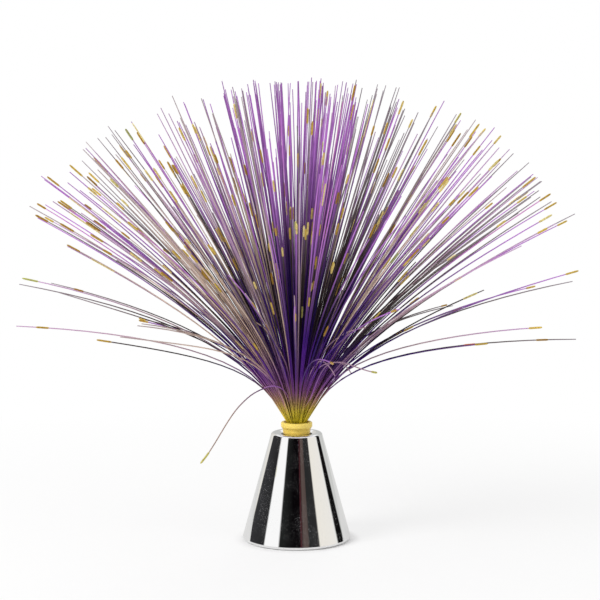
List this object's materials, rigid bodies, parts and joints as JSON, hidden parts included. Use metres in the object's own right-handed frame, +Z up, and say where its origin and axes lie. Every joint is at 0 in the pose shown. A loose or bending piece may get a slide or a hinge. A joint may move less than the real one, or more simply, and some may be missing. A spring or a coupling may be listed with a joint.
{
  "type": "fiber optic lamp",
  "caption": "Chromed cone lamp base with a yellow collar that plugs into its top and carries a fountain spray of optical strands, battery door and slide switch underneath.",
  "frame": {"origin": "on the floor under the middle of the cone", "axes": "+Z up along the cone's axis, -Y towards the front, where the picture was taken from"},
  "size_m": [0.3956, 0.3956, 0.3259],
  "materials": {
    "chrome": "mirror polished, with fine dust and hairline scratches",
    "black_plastic": "fine satin moulding",
    "white_plastic": "satin",
    "circuit_board": "green solder mask",
    "led_lens": "clear tinted epoxy",
    "chip_black": "matte epoxy",
    "capacitor_sleeve": "shrunk sleeve",
    "screw_steel": "plated steel",
    "foot_rubber": "matte rubber",
    "cell_sleeve": "plain shrunk sleeve over a metal can",
    "nickel": "nickel plate",
    "wire_red": "insulated wire",
    "wire_black": "insulated wire",
    "collar_yellow": "slightly translucent moulding",
    "tip_gold": "metallic gold dip on the strand ends, with wear",
    "ring_rubber": "satin rubber",
    "strand_violet": "clear acrylic strand lit from its foot, violet to olive along it"
  },
  "bodies": {
    "base": {"cone_shell": "chrome", "socket_sleeve": "black_plastic", "ring_nut": "black_plastic", "socket_bracket": "white_plastic", "led_board": "circuit_board", "led_1": "led_lens", "led_2": "led_lens", "led_3": "led_lens", "led_reflector": "white_plastic", "controller_chip": "chip_black", "capacitor": "capacitor_sleeve", "resistor_1": "chip_black", "resistor_2": "chip_black", "resistor_3": "chip_black", "base_plate": "black_plastic", "switch_housing": "screw_steel", "board_screw_1": "screw_steel", "board_screw_2": "screw_steel", "foot_1": "foot_rubber", "foot_2": "foot_rubber", "foot_3": "foot_rubber", "foot_4": "foot_rubber", "battery_1": "cell_sleeve", "battery_2": "cell_sleeve", "battery_3": "cell_sleeve", "contact_bridge_front": "nickel", "contact_single_front": "nickel", "contact_bridge_back": "nickel", "contact_single_back": "nickel", "wire_red": "wire_red", "wire_black": "wire_black", "wire_switch": "wire_black"},
    "switch_lever": {"switch_lever": "white_plastic"},
    "battery_door": {"battery_door": "black_plastic"},
    "grip_ring": {"grip_ring": "ring_rubber"},
    "spray": {"collar": "collar_yellow", "fibres_crown": "strand_violet", "fibres_sector_1": "strand_violet", "fibres_sector_2": "strand_violet", "fibres_sector_3": "strand_violet", "fibres_sector_4": "strand_violet", "fibres_sector_5": "strand_violet", "fibres_sector_6": "strand_violet", "fibres_sector_7": "strand_violet", "fibres_sector_8": "strand_violet"}
  },
  "joints": [
    {"name": "switch_slide", "type": "slide", "parent": "base", "child": "switch_lever", "axis": [1, 0, 0], "range_m": [0, 0.0024]},
    {"name": "battery_door_hinge", "type": "hinge", "parent": "base", "child": "battery_door", "pos_m": [-0.0274, 0, 0.00345], "axis": [0, 1, 0], "range_deg": [0, 75]},
    {"name": "spray_lift", "type": "slide", "parent": "base", "child": "grip_ring", "axis": [0, 0, 1], "range_m": [0, 0.04]},
    {"name": "spray_turn", "type": "hinge", "parent": "grip_ring", "child": "spray", "pos_m": [0, 0, 0.0652], "axis": [0, 0, 1], "continuous": true}
  ]
}
